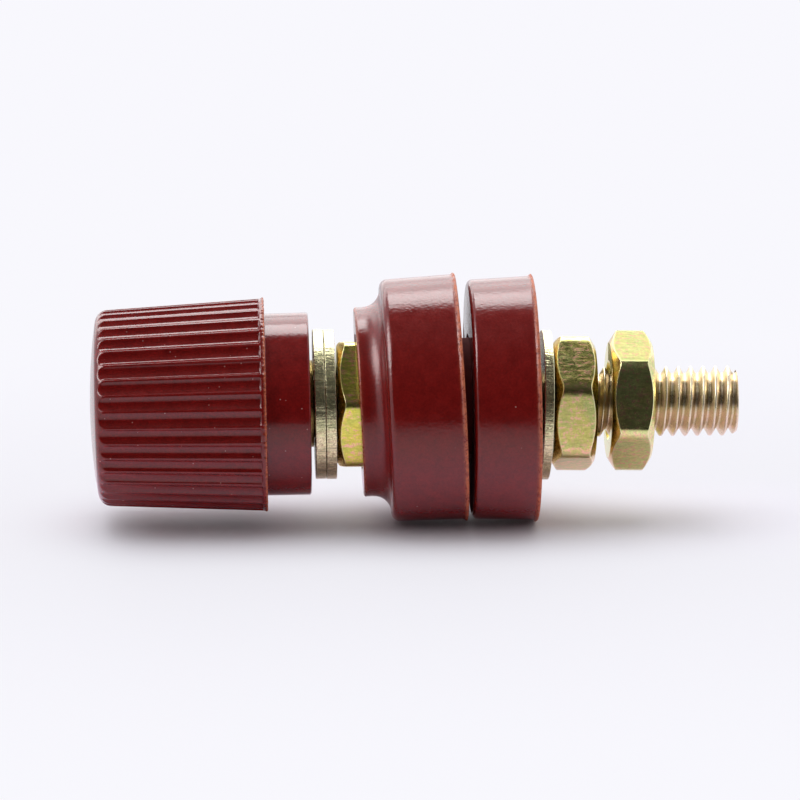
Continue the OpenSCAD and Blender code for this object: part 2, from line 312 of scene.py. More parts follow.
# An empty group that takes a vector and these values, and gives these outputs
def newGroup(name, inputs, outputs):
    tree = bpy.data.node_groups.new(name, "ShaderNodeTree")
    tree.interface.new_socket("Vector", in_out="INPUT", socket_type="NodeSocketVector")
    for label, value in inputs.items():
        socket = tree.interface.new_socket(label, in_out="INPUT", socket_type="NodeSocketFloat")
        socket.default_value = value
    for label in outputs:
        tree.interface.new_socket(label, in_out="OUTPUT", socket_type="NodeSocketFloat")
    nodes = Nodes(tree)
    return tree, nodes, nodes.add("NodeGroupInput").outputs, nodes.add("NodeGroupOutput")


# Mottle is broad, Grain is fine, and Specks is a scatter of small round dots: one in each
# chosen cell, falling from 1 in its middle to 0 at the speck's size
def grainGroup():
    tree, n, given, out = newGroup("mouldedGrain", {
        "Mottle Scale": 900.0, "Grain Scale": 9000.0,
        "Speck Scale": 1500.0, "Speck Share": 0.1, "Speck Size": 0.16,
    }, ["Mottle", "Grain", "Specks"])
    mottle = n.noise(given["Vector"], given["Mottle Scale"], detail=5.0, roughness=0.62)
    grain = n.noise(given["Vector"], given["Grain Scale"], detail=2.0, roughness=0.5)
    cells = n.add("ShaderNodeTexVoronoi", {"Vector": given["Vector"], "Scale": given["Speck Scale"]})
    draw = n.add("ShaderNodeSeparateColor", {"Color": cells.outputs["Color"]}).outputs[0]
    chosen = n.math("LESS_THAN", draw, given["Speck Share"])
    away = n.math("DIVIDE", cells.outputs["Distance"], given["Speck Size"])
    near = n.math("SUBTRACT", 1.0, away, clamp=True)
    n.link(mottle, out, "Mottle")
    n.link(grain, out, "Grain")
    n.link(n.times(chosen, near), out, "Specks")
    return tree


# Cloud is the slow change in a plating's colour, Streak runs along X and Fleck is fine
def platingGroup():
    tree, n, given, out = newGroup("platingMarks", {
        "Cloud Scale": 700.0, "Streak Scale": 9000.0, "Streak Stretch": 0.04,
    }, ["Cloud", "Streak", "Fleck"])
    fleckFiner = 7.0
    stretch = n.add("ShaderNodeCombineXYZ", {0: given["Streak Stretch"], 1: 1.0, 2: 1.0}).outputs[0]
    along = n.add("ShaderNodeVectorMath", {0: given["Vector"], 1: stretch},
                  operation="MULTIPLY").outputs[0]
    cloud = n.noise(given["Vector"], given["Cloud Scale"], detail=3.0, roughness=0.6, distortion=0.6)
    fleckScale = n.times(given["Cloud Scale"], fleckFiner)
    n.link(cloud, out, "Cloud")
    n.link(n.noise(along, given["Streak Scale"], detail=3.0, roughness=0.65), out, "Streak")
    n.link(n.noise(given["Vector"], fleckScale, detail=2.0, roughness=0.6), out, "Fleck")
    return tree


grain = grainGroup()
plating = platingGroup()


# The emptied node tree of a material or a world
def emptyTree(owner):
    owner.use_nodes = True
    owner.node_tree.nodes.clear()
    return Nodes(owner.node_tree)


# A material, its tree, a principled shader in it and the object's own coordinates
def newMaterial(name):
    material = bpy.data.materials.new(name)
    n = emptyTree(material)
    return material, n, n.add("ShaderNodeBsdfPrincipled"), n.coordinates("Object")


redPlastic = {
    "flashOrange": (0.620, 0.150, 0.058, 1), "speck": (0.62, 0.34, 0.30, 1),
    "matte": 0.75, "ior": 1.54,
    "mottleScale": 1500.0, "mottleLow": 0.36, "mottleHigh": 0.64,
    "flashScale": 6000.0, "flashLow": 0.34, "flashHigh": 0.50, "flashLeast": 0.15,
    "smoother": 0.03, "rougher": 0.04, "flashRough": 0.45,
    "waveScale": 5200.0, "grainHeight": 0.3, "speckHeight": 0.3, "flashHeight": 0.9,
}
knobRed = {
    "red": (0.246, 0.0060, 0.0050, 1), "deepRed": (0.142, 0.0032, 0.0030, 1),
    "speckShare": 0.12, "speckScale": 3300.0, "peel": 0.000005, "roughness": 0.13,
}
bushRed = {
    "red": (0.238, 0.0070, 0.0050, 1), "deepRed": (0.160, 0.0040, 0.0032, 1),
    "speckShare": 0.012, "speckScale": 3000.0, "peel": 0.000013, "roughness": 0.15,
}


# Dark red phenolic: a broad mottle between two reds, pale specks, dull orange where the mark
# "flash" is set, a dull face where "matte" is set, and an orange-peel in the gloss
def plasticMaterial(name, p):
    p = {**redPlastic, **p}
    material, n, shader, vector = newMaterial(name)
    marks = n.add("ShaderNodeGroup", {
        "Vector": vector, "Speck Share": p["speckShare"], "Speck Scale": p["speckScale"],
        "Mottle Scale": p["mottleScale"],
    }, node_tree=grain).outputs
    mottle = n.plus(n.times(marks["Mottle"], 0.5), n.times(marks["Grain"], 0.5))
    mottle = n.span(mottle, p["mottleLow"], p["mottleHigh"])
    flashGrain = n.noise(vector, p["flashScale"], detail=3.0, roughness=0.65)
    flashGrain = n.span(flashGrain, p["flashLow"], p["flashHigh"], p["flashLeast"], 1.0)
    orange = n.times(n.mark("flash"), flashGrain, clamp=True)
    colour = n.mix(mottle, p["deepRed"], p["red"])
    colour = n.mix(orange, colour, p["flashOrange"])
    colour = n.mix(marks["Specks"], colour, p["speck"])
    n.link(colour, shader, "Base Color")
    rough = n.span(marks["Mottle"], 0.3, 0.7,
                   p["roughness"] - p["smoother"], p["roughness"] + p["rougher"])
    rough = n.plus(rough, n.times(orange, p["flashRough"]))
    rough = n.math("MAXIMUM", rough, n.times(n.mark("matte"), p["matte"]))
    n.link(rough, shader, "Roughness")
    height = n.noise(vector, p["waveScale"], detail=2.0, roughness=0.5)
    for mark, share in ((marks["Grain"], "grainHeight"), (marks["Specks"], "speckHeight"),
                        (orange, "flashHeight")):
        height = n.plus(height, n.times(mark, p[share]))
    n.link(n.bump(height, p["peel"]), shader, "Normal")
    shader.inputs["IOR"].default_value = p["ior"]
    n.surface(shader)
    return material


knobPlastic = plasticMaterial("redPhenolicKnob", knobRed)
bushPlastic = plasticMaterial("redPhenolicBush", bushRed)


# Gives a piece its material and the body that carries it, and hides the CAD node it replaces
def finishPiece(obj, node, material):
    obj.data.materials.append(material)
    body = next(b for b, nodes in frame["record"]["behaviour"]["bodies"].items() if node in nodes)
    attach(obj, body)
    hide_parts(node)
    print(obj.name, len(obj.data.polygons), "faces")


# Knob cap, drawn from the middle of its dome
knob = {
    "seat": {"x": -20.9243, "lean": 0.8, "pivot": 9.77},
    "gripLength": 9.89, "tipRadius": 5.5, "rimRadius": 6.0,
    "domeRise": 0.46, "domeFrom": 0.25, "domeReach": 4.0, "domeEdge": 0.75,
    "collarRadius": 5.15, "length": 12.36, "collarEdge": 0.12,
    "flutes": 39, "ridgeTurn": 19.385, "fluteRadius": 0.55, "fluteDepth": 0.20, "rimWidth": 0.26,
    "fluteFrom": 3.5, "ridgeSharpness": 75.0,
    "closingBefore": 0.05, "closingLength": 0.11, "closingRise": 0.6,
    "neckRadius": 2.46, "hexWidth": 6.42, "hexSoftness": 60.0, "neckLength": 1.0, "hollowEnd": 4.98,
    "gripStep": 0.55, "rimStep": 0.35,
    "closingRows": (0.5, 0.4, 0.34, 0.3, 0.27, 0.24, 0.21, 0.18, 0.12),  # before the rim
    "ridgePlaces": (0.03, 0.06, 0.08, 0.094, 0.11, 0.14, 0.19, 0.26, 0.34, 0.42),  # in flutes
    "raggedBefore": 0.06, "raggedWidth": 0.1, "raggedBand": 0.4,
    "raggedHeight": 0.035, "raggedLow": 0.02, "raggedSway": 0.02, "raggedBack": 0.015,
    "flashBefore": 0.02, "flashWidth": 0.085, "flashBelow": 0.35, "flashFade": 0.1,
}


# The profile turned round the axis, with each flute taken off the grip as a round bar laid
# along its taper: r is the softened least of the profile and the bar's near side
def makeKnob():
    k = knob
    gripEnd, length, flutes = k["gripLength"], k["length"], k["flutes"]
    domeRise, tipRadius, rimRadius = k["domeRise"], k["tipRadius"], k["rimRadius"]
    domeRadius = (tipRadius ** 2 + domeRise ** 2) / 2 / domeRise
    out = np.linspace(k["domeFrom"], k["domeReach"], 9)
    dome = np.stack([domeRadius - np.sqrt(domeRadius ** 2 - out ** 2), out], 1)
    grip = roundedPath([
        (dome[-1, 0], dome[-1, 1], 0),
        (domeRise, tipRadius, k["domeEdge"]),
        (gripEnd, rimRadius, 0),
    ], steps=14)
    grip = densePath(grip, k["gripStep"])
    nearRim = gripEnd - np.array(k["closingRows"])
    slope = (rimRadius - tipRadius) / (gripEnd - domeRise)
    nearRim = np.stack([nearRim, rimRadius - (gripEnd - nearRim) * slope], 1)
    grip = grip[grip[:, 0] < nearRim[0, 0]]
    hollow = length - k["neckLength"]
    rim = roundedPath([
        (nearRim[-1, 0], nearRim[-1, 1], 0),
        (gripEnd, rimRadius + 0.02, 0.06),
        (gripEnd, k["collarRadius"] - 0.02, 0.05),
        (length, k["collarRadius"], k["collarEdge"]),
        (length, k["neckRadius"], 0.04),
        (hollow, k["neckRadius"], 0),
    ], steps=5)
    rim = densePath(rim[1:], k["rimStep"])
    outer = np.concatenate([dome[:-1], grip, nearRim, rim])
    hexEnd = k["hollowEnd"]
    # x, and the share of the hexagon's radius, down the hollow and over its end
    hexRows = np.array([[hollow, 1.0], [hexEnd, 1.0], [hexEnd, 0.5], [hexEnd, 0.1]])
    half = np.array(k["ridgePlaces"])
    turn = np.concatenate([-half[::-1], [0], half, [0.5]])  # 0 on a ridge, 0.5 in a flute
    around = ((np.arange(flutes)[:, None] + turn) / flutes).ravel()
    turn = np.tile(turn, flutes)
    columns = len(around)
    theta = around * tau + np.radians(k["ridgeTurn"])
    x = outer[:, :1]
    r = np.repeat(outer[:, 1:], columns, 1)
    across = (0.5 - np.abs(turn)) * tau / flutes
    centre = (rimRadius - (gripEnd - k["rimWidth"] - x) * slope
              + k["fluteRadius"] - k["fluteDepth"])
    wide = centre * np.sin(across)
    bar = centre * np.cos(across) - np.sqrt(np.maximum(k["fluteRadius"] ** 2 - wide ** 2, 0))
    closing = ramp(x, gripEnd - k["rimWidth"] - k["closingBefore"], k["closingLength"])
    bar = bar + k["closingRise"] * closing ** 2 * (3 - 2 * closing)
    onGrip = (np.arange(len(outer)) < len(outer) - len(rim))[:, None]
    r = np.where(onGrip & (r > k["fluteFrom"]), softMin(r, bar, k["ridgeSharpness"]), r)
    atRim = bell(x, gripEnd - k["raggedBefore"], k["raggedWidth"])
    atRim = atRim * (np.abs(r - rimRadius) < k["raggedBand"])
    r = r + atRim * (k["raggedHeight"] * roundWave(theta, 3, 9, 170) - k["raggedLow"])
    x = x + atRim * (k["raggedSway"] * roundWave(theta, 5, 15, 140) - k["raggedBack"])
    flash = (bell(x, gripEnd - k["flashBefore"], k["flashWidth"])
             * ramp(r, rimRadius - k["flashBelow"], k["flashFade"]))
    hexagon = hexRadius(theta, k["hexWidth"], 0.0, k["hexSoftness"])
    r = np.concatenate([r, hexRows[:, 1:] * hexagon])
    x = np.concatenate([np.broadcast_to(x, (len(outer), columns)),
                        np.repeat(hexRows[:, :1], columns, 1)])
    flash = np.concatenate([flash, np.zeros((len(hexRows), columns))])
    return turnedObject("knobCap", x, r, theta, k["seat"], {"flash": flash}, poles=True)


finishPiece(makeKnob(), "knob_cap", knobPlastic)

# Front insulator, drawn from its collar's face
frontBush = {
    "seat": {"x": -5.79, "lean": 2.797, "lift": 0.1},
    "faceRadius": 4.6, "collarRadius": 5.351, "collarEdge": 0.14, "collarLength": 1.51,
    "hollow": 0.99, "shoulderRadius": 6.825, "shoulder": 0.45,
    "length": 5.79, "backRadius": 6.925, "flashHeight": 0.12, "flashWidth": 0.22,
    "spigotRadius": 3.3, "spigotLength": 2.1, "spigotEdge": 0.2,
    "recessWidth": 7.64, "recessDepth": 1.47, "recessCorner": 12.0, "recessSoftness": 90.0,
    "floorRadius": 3.7, "edgeFlash": 0.5, "neckMatte": 0.34,
}

# Rear insulator, drawn from its face at the panel
rearBush = {
    "seat": {"x": 0.4533, "lean": 0.9, "pivot": 1.85, "lift": 0.24},
    "length": 3.7, "frontRadius": 6.75, "backRadius": 6.9, "frontEdge": 0.32,
    "flashHeight": 0.12, "flashWidth": 0.22, "recessRadius": 3.7, "recessDepth": 2.6,
    "mouthEdge": 0.1, "matteBelow": 0.6, "matteFade": 0.15, "columns": 264,
}

# Both insulators: their edges, the rows their outlines are cut into, and the shape of their
# flash, whose places and widths along x are shares of the flash's width
bush = {
    "crisp": 0.05, "edge": 0.08,
    "rimFrom": 6.5, "step": 0.2, "flashStep": 0.04, "flashReach": 0.7, "hiddenStep": 0.6,
    "ridgeAt": 0.45, "ridgeWidth": 0.42, "ridgeBelow": 0.25, "sway": 0.02,
    "height": 0.62, "ragged": 0.3, "lowest": 0.25, "highest": 0.97,
    "markAt": 0.22, "markWidth": 0.66, "markBelow": 0.2, "markFade": 0.15, "markRagged": 0.25,
    "markGain": 1.5,
}


# Lifts the ridge of flash at a moulding's back edge into a ragged line, and marks it: both
# are bell curves along x, and waves round the axis
def raggedFlash(x, r, theta, b, seed):
    q = bush
    back, radius, width = b["length"], b["backRadius"], b["flashWidth"]
    ridge = bell(x, back - width * q["ridgeAt"], width * q["ridgeWidth"])
    ridge = ridge * (r > radius - q["ridgeBelow"])
    ragged = q["height"] + q["ragged"] * roundWave(theta, seed, 5, 150)
    r = r + ridge * b["flashHeight"] * np.clip(ragged, q["lowest"], q["highest"])
    onRidge = r > radius + 0.02
    x = x + ridge * onRidge * q["sway"] * roundWave(theta, seed + 1, 9, 120)
    band = bell(x, back - width * q["markAt"], width * q["markWidth"])
    wave = 1 - q["markRagged"] + q["markRagged"] * roundWave(theta, seed + 2, 20, 90)
    mark = band * ramp(r, radius - q["markBelow"], q["markFade"]) * wave
    return x, r, np.clip(mark * q["markGain"], 0, 1)


# Grids of x, r and flash for an outline turned round the axis, with fine rows near its flash
# and coarse ones on its hidden walls; a closed outline runs back to where it began
def bushGrids(outline, theta, b, seed, closed):
    q = bush
    rim = np.flatnonzero(outline[:, 1] > q["rimFrom"])[-1] + 1
    outer = densePath(outline[:rim], q["step"])
    outer = densePath(outer, q["step"], q["flashStep"], b["length"] - q["flashReach"])
    if closed:
        hidden = np.concatenate([outline[rim - 1:], outline[:1]])
        hidden = densePath(hidden, q["hiddenStep"])[1:-1]
    else:
        hidden = densePath(outline[rim - 1:], q["hiddenStep"])[1:]
    rows = np.concatenate([outer, hidden])
    x, r = pathGrids(rows, len(theta))
    return raggedFlash(x, r, theta, b, seed)


# Its outline turned round the axis, and then the walls of the nut's recess, where r is the
# hexagon's radius and each row's small offset
def makeFrontBush():
    b = frontBush
    length, depth, bore = b["length"], b["recessDepth"], stack["insulatorBore"]
    collar, neckEnd = b["collarRadius"], b["collarLength"]
    backRadius, spigot = b["backRadius"], b["spigotRadius"]
    corner = np.radians(b["recessCorner"])
    theta = hexAngles(corner, 44)
    spigotEnd = length + b["spigotLength"]
    outline = roundedPath([
        (0, b["faceRadius"], 0),
        (0, collar, b["collarEdge"]),
        (neckEnd, collar, b["hollow"]),
        (neckEnd, b["shoulderRadius"], b["shoulder"]),
        (length, backRadius, bush["crisp"]),
        (length, spigot, bush["edge"]),
        (spigotEnd, spigot, b["spigotEdge"]),
        (spigotEnd, bore, bush["edge"]),
        (depth, bore, bush["crisp"]),
        (depth, b["floorRadius"], 0),
    ], steps=9)
    x, r, flash = bushGrids(outline, theta, b, seed=11, closed=False)
    recess = hexRadius(theta, b["recessWidth"], corner, b["recessSoftness"])
    wall = np.array([[depth, -0.04], [depth - 0.04, 0], [0.08, 0], [0.02, 0.02], [0, 0.09]])
    x = np.concatenate([x, np.repeat(wall[:, :1], len(theta), 1)])
    r = np.concatenate([r, recess + wall[:, 1:]])
    flash = np.concatenate([flash, np.zeros((len(wall), len(theta)))])
    edge = bell(x, 0, 0.12) * ramp(r, collar - 0.3, 0.2) * b["edgeFlash"]
    behind = ramp(x, length - 0.02, 0.02) * (r < backRadius - 0.1)
    onNeck = ramp(x, 0.35, 0.2) * ramp(neckEnd + 0.05 - x, 0, 0.1)
    onNeck = b["neckMatte"] * onNeck * (r > collar - 0.1)
    marks = {"flash": np.maximum(flash, edge), "matte": np.maximum(behind, onNeck)}
    return turnedObject("frontBush", x, r, theta, b["seat"], marks)


# Its closed outline turned round the axis, dull on the part of its face that the gap shades
def makeRearBush():
    b = rearBush
    length, depth, bore = b["length"], b["recessDepth"], stack["insulatorBore"]
    theta = np.arange(b["columns"]) / b["columns"] * tau
    outline = roundedPath([
        (0, b["recessRadius"], b["mouthEdge"]),
        (0, b["frontRadius"], b["frontEdge"]),
        (length, b["backRadius"], bush["crisp"]),
        (length, bore, bush["edge"]),
        (depth, bore, bush["edge"]),
        (depth, b["recessRadius"], bush["edge"]),
    ], steps=9)
    x, r, flash = bushGrids(outline, theta, b, seed=23, closed=True)
    inGap = np.clip((b["matteBelow"] - np.sin(theta)) / b["matteFade"], 0, 1)
    matte = (r < b["frontRadius"] - 0.35) * np.clip(1 - x, 0, 1) * inGap
    return turnedObject("rearBush", x, r, theta, b["seat"], {"flash": flash, "matte": matte})


finishPiece(makeFrontBush(), "front_insulator", bushPlastic)
finishPiece(makeRearBush(), "rear_insulator", bushPlastic)

# What the platings share; a finish below can set its own. Only nuts have chamfers that carry the painted
# reflection.
plate = {
    "cone": (0.62, 0.36, 0.09, 1), "fleck": 0.5, "metal": 1.0,
    "cloudLow": 0.38, "cloudHigh": 0.62, "patchLow": 0.50, "patchHigh": 0.60, "coneReflectionAmount": 0.75,
    "fineScale": 11000.0, "fineDark": 0.86, "fineBright": 1.08, "streakLift": 0.4,
    "dullPaintedShade": 0.58, "dullRough": 0.62, "smoother": 0.06, "rougher": 0.08,
}


# Plating that clouds between two colours, with a third in patches and streaks along X in its
# brightness, its roughness and its bump; the mark "edge" is paler, "cone" is painted reflection,
# an amber tint on the chamfers, and "dull" is rougher and darkened as painted shade
def platedMaterial(name, p):
    p = {**plate, **p}
    material, n, shader, vector = newMaterial(name)
    marks = n.add("ShaderNodeGroup", {
        "Vector": vector, "Cloud Scale": p["cloudScale"], "Streak Scale": p["streakScale"],
        "Streak Stretch": p["streakStretch"],
    }, node_tree=plating).outputs
    colour = n.mix(n.span(marks["Cloud"], p["cloudLow"], p["cloudHigh"]), p["colour"], p["cloud"])
    patchAt = n.plus(n.times(marks["Fleck"], 0.5), n.times(marks["Streak"], 0.5))
    patch = n.span(patchAt, p["patchLow"], p["patchHigh"], 0.0, p["patchAmount"])
    colour = n.mix(patch, colour, p["patch"])
    # painted reflection: the amber that the shaded washer and insulator beside the nut would show in its
    # chamfer
    colour = n.mix(n.times(n.mark("cone"), p["coneReflectionAmount"]), colour, p["cone"])
    fine = n.noise(vector, p["fineScale"], detail=2.0, roughness=0.6)
    dull = n.mark("dull")
    bright = n.span(marks["Streak"], 0.3, 0.7,
                    1 - p["streakShade"], 1 + p["streakShade"] * p["streakLift"])
    bright = n.times(bright, n.span(fine, 0.3, 0.7, p["fineDark"], p["fineBright"]))
    # painted shade: the colour is darkened where the mark dull is set
    bright = n.times(bright, n.span(dull, 0.0, 1.0, 1.0, p["dullPaintedShade"]))
    colour = n.mix(1.0, colour, n.grey(bright), "MULTIPLY")
    colour = n.mix(n.times(n.mark("edge"), p["edgeAmount"]), colour, p["edge"])
    n.link(colour, shader, "Base Color")
    rough = n.span(marks["Streak"], 0.25, 0.75,
                   p["roughness"] - p["smoother"], p["roughness"] + p["rougher"])
    n.link(n.math("MAXIMUM", rough, n.times(dull, p["dullRough"])), shader, "Roughness")
    height = n.plus(marks["Streak"], n.times(fine, p["fleck"]))
    n.link(n.bump(height, p["bump"]), shader, "Normal")
    shader.inputs["Metallic"].default_value = p["metal"]
    n.surface(shader)
    return material


nutFinish = {
    "patch": (0.92, 0.50, 0.36, 1), "edge": (0.97, 0.92, 0.56, 1),
    "patchAmount": 0.8, "edgeAmount": 0.6,
    "cloudScale": 700.0, "streakScale": 5200.0, "streakStretch": 0.35, "streakShade": 0.26,
    "roughness": 0.19, "bump": 0.0000016,
}
# Each nut's colours: the plating's tint, together with painted shade on the panel nut, whose colours are
# darker, and painted light on the terminal nut, whose colours are paler
nutTintsAndShades = {
    "frontNut": {"colour": (0.84, 0.76, 0.12, 1), "cloud": (0.70, 0.74, 0.14, 1)},
    "panelNut": {"colour": (0.70, 0.63, 0.19, 1), "cloud": (0.56, 0.58, 0.20, 1)},
    "terminalNut": {"colour": (0.88, 0.82, 0.30, 1), "cloud": (0.78, 0.86, 0.34, 1)},
}
washerFinish = {
    "colour": (1.0, 0.93, 0.56, 1), "cloud": (0.90, 0.88, 0.48, 1), "patch": (0.46, 0.33, 0.20, 1),
    "edge": (1.0, 0.97, 0.76, 1), "patchAmount": 0.75, "edgeAmount": 0.4,
    "cloudScale": 1100.0, "streakScale": 7500.0, "streakStretch": 0.12, "streakShade": 0.6,
    "roughness": 0.23, "fleck": 0.8, "bump": 0.000026, "metal": 0.97,
}
studFinish = {
    "colour": (0.82, 0.67, 0.46, 1), "cloud": (0.77, 0.68, 0.42, 1), "patch": (0.80, 0.58, 0.47, 1),
    "edge": (0.98, 0.90, 0.74, 1), "patchAmount": 0.7, "edgeAmount": 0.5,
    "cloudScale": 1400.0, "streakScale": 5000.0, "streakStretch": 0.8, "streakShade": 0.16,
    "roughness": 0.30, "bump": 0.0000025,
}
insertFinish = {
    "colour": (0.62, 0.45, 0.17, 1), "cloud": (0.55, 0.42, 0.18, 1), "patch": (0.50, 0.32, 0.12, 1),
    "edge": (0.78, 0.62, 0.30, 1), "patchAmount": 0.4, "edgeAmount": 0.4,
    "cloudScale": 900.0, "streakScale": 6000.0, "streakStretch": 4.0, "streakShade": 0.12,
    "roughness": 0.28, "fleck": 0.4, "bump": 0.000003,
}
washerPlating = platedMaterial("paleZincWasher", washerFinish)
studPlating = platedMaterial("champagneStud", studFinish)
insertBrass = platedMaterial("turnedBrass", insertFinish)

stud = {
    "front": -13.9558, "tip": 15.5761, "rootRadius": 1.57, "ridgeHalf": 0.045,
    "endRadius": 1.735, "endChamfer": 0.35, "topRidge": 11.605, "columns": 96,
    "sharpness": 55.0, "edgeWidth": 0.07, "sharpAngle": 50,
    "mergeDistance": 0.0000005, "sliverDistance": 0.0000004,  # in metres
}


# Right-hand thread. Rows follow the helix: x = row place + pitch times theta over a full turn,
# so the last column joins the first one pitch further on. The radius falls from a flat ridge
# down 30 degree flanks to a rounded root, and is never more than the chamfered end allows.
def makeStud():
    s = stud
    pitch, thread = stack["pitch"], stack["threadRadius"]
    front, tip = s["front"], s["tip"]
    within = np.array([-0.35, -0.31, -0.28, -0.24, -0.17, -0.11, -0.08, -0.05, 0, 0.05, 0.08, 0.11,
                       0.17, 0.24, 0.28, 0.31])  # rows across one pitch, 0 on the ridge
    turns = int(np.ceil((tip - front) / pitch)) + 3
    quarter = s["topRidge"] - pitch / 4  # ridge place at theta 0
    first = quarter - pitch * np.ceil((quarter - front) / pitch + 1)
    place = (first + pitch * np.arange(turns)[:, None] + within[None]).ravel()
    theta = np.arange(s["columns"]) / s["columns"] * tau
    free = place[:, None] + pitch * theta[None] / tau
    away = np.abs(np.tile(within, turns))[:, None]
    flank = thread - (away - s["ridgeHalf"]) * np.sqrt(3)
    ridge = softMax(flank, s["rootRadius"], s["sharpness"])
    ridge = softMin(ridge, thread, s["sharpness"])
    x = np.clip(free, front, tip)
    fromEnd = np.minimum(x - front, tip - x)
    limit = s["endRadius"] + fromEnd / s["endChamfer"] * (thread - s["endRadius"])
    r = np.minimum(ridge, limit)
    rows, columns = r.shape
    points = seated(x, r, np.broadcast_to(theta, r.shape), {"x": 0})
    index = np.arange(rows * columns).reshape(rows, columns)
    right = np.roll(index, -1, 1)
    right[:, -1] = np.minimum(index[:, 0] + len(within) * columns, index[-1, 0])
    quads = np.stack([index[:-1], right[:-1], right[1:], index[1:]], -1).reshape(-1, 4)
    ends = mm * np.array([[front, 0, 0], [tip, 0, 0]])
    edge = bell(away, 0, s["edgeWidth"]) * np.ones_like(r)
    obj = meshObject("threadedStud", np.concatenate([points.reshape(-1, 3), ends]), quads,
                     endFans(index, rows * columns), {"edge": np.append(edge.ravel(), [0, 0])})
    work = bmesh.new()  # the rows that lie on an end are merged
    work.from_mesh(obj.data)
    bmesh.ops.remove_doubles(work, verts=work.verts, dist=s["mergeDistance"])
    bmesh.ops.dissolve_degenerate(work, dist=s["sliverDistance"], edges=work.edges)
    work.to_mesh(obj.data)
    work.free()
    obj.data.set_sharp_from_angle(angle=np.radians(s["sharpAngle"]))
    return obj


finishPiece(makeStud(), "stud", studPlating)

nut = {
    "width": 7.0, "cornerRadius": 3.9565, "faceRadius": 3.28, "chamfer": 0.43, "sink": 0.3,
    "mouthRadius": 2.27, "thickness": 2.4, "cornerSoftness": 110.0, "rimSharpness": 60.0,
    "chamferSharpness": 45.0, "leastStep": 0.008, "edgeWidth": 0.045, "cornerEdge": 0.3,
    "cornerEdgeWidth": 0.07, "coneFade": 0.03, "sharpAngle": 38,
}
# CAD node, seat, turn of the first corner in degrees, and the flat that is made matt and given painted
# shade
nutSeats = {
    "frontNut": ("front_nut", {"x": -7.04}, 12.0, None),
    "panelNut": ("panel_nut", {"x": 5.1161, "lean": -1.0, "pivot": 1.2, "lift": -0.09}, 26.0, None),
    "terminalNut": ("terminal_nut", {"x": 8.3261, "lean": -1.0, "pivot": 1.2, "lift": 0.07}, 44.6, 0),
}


# Hexagon cut by a cone at each end: at every angle the profile's chamfer ends where the cone's
# radius reaches the hexagon's, and the corner between them is softened along the profile
def makeNut(name, seat, turn, paintedShadeFlat):
    q = nut
    t = q["thickness"]
    face = q["faceRadius"]
    corner = np.radians(turn)
    theta = hexAngles(corner, 34)
    hexagon = softMin(hexRadius(theta, q["width"], corner, q["cornerSoftness"]),
                      q["cornerRadius"], q["rimSharpness"])
    rise = q["chamfer"] / (q["cornerRadius"] - face)
    meet = (hexagon - face) * rise
    around = np.array([-0.1, -0.06, -0.035, -0.015, 0, 0.015, 0.035, 0.06, 0.1, 0.2])[:, None]
    sideX = np.concatenate([np.linspace(0.02, 0.6, 3)[:, None] * (meet - 0.1), meet + around])
    sideX = np.maximum(sideX, q["leastStep"] * np.arange(1, len(sideX) + 1)[:, None])
    side = softMin(face + sideX / rise, hexagon, q["chamferSharpness"])
    bore, mouth, sink = stack["tapRadius"], q["mouthRadius"], q["sink"]
    faceR = np.array([bore, bore + 0.02, mouth - 0.02, mouth + 0.03, mouth + 0.1,
                      face - 0.1, face - 0.03, face])
    faceX = np.array([sink, sink - 0.05, 0.035, 0.006, 0, 0, 0.0, 0.005])
    grid = np.ones((1, len(theta)))
    x = np.concatenate([faceX[:, None] * grid, sideX])
    r = np.concatenate([faceR[:, None] * grid, side])
    x = np.concatenate([x, t - x[::-1]])
    r = np.concatenate([r, r[::-1]])
    deep = np.minimum(x, t - x)  # from the nearer face
    nearMeet = bell(deep, meet, q["edgeWidth"]) * (r > face)
    away = (theta - corner + np.pi / 6) % (np.pi / 3) - np.pi / 6
    nearCorner = bell(away * q["cornerRadius"], 0, q["cornerEdgeWidth"]) * (r > face)
    edge = np.clip(nearMeet + q["cornerEdge"] * nearCorner, 0, 1)
    onCone = ramp(meet - deep, 0, q["coneFade"]) * (r > face - 0.01)
    dull = np.zeros_like(r)
    # dull marks the flat after the first corner, which on the terminal nut faces up: rougher, and
    # darkened as painted shade
    if paintedShadeFlat is not None:
        flat = ((theta - corner) // (np.pi / 3)) % 6 == paintedShadeFlat
        dull = dull + flat * (1 - onCone)
    # cone: painted reflection on the chamfer on the nut's -X side, which faces the washer or nut beside
    # it
    marks = {"edge": edge, "cone": onCone * (x < t / 2), "dull": dull}
    obj = turnedObject(name, x, r, theta, seat, marks)
    obj.data.set_sharp_from_angle(angle=np.radians(q["sharpAngle"]))
    return obj


for name, (node, seat, turn, paintedShadeFlat) in nutSeats.items():
    # each nut's plating carries its own painted shade or painted light
    nutPlating = platedMaterial("yellowZinc_" + name, {**nutFinish, **nutTintsAndShades[name]})
    finishPiece(makeNut(name, seat, turn, paintedShadeFlat), node, nutPlating)

washer = {
    "columns": 240, "stampedEdge": 0.04, "rolledEdge": 0.05, "crispEdge": 0.035, "hold": 0.03,
    "ripple": 0.006,
}
# CAD node, seat, thickness, and seed of the ripple
washerSeats = {
    "innerClampWasher": ("inner_clamp_washer", {"x": -7.7073, "lean": 1.0, "pivot": 0.29}, 0.58, 31),
    "outerClampWasher": ("outer_clamp_washer", {"x": -8.3173, "lean": 1.0, "pivot": 0.29}, 0.58, 37),
    "rearWasher": ("rear_washer", {"x": 4.4532, "lean": -1.4, "pivot": 0.265, "lift": -0.15}, 0.53, 41),
}


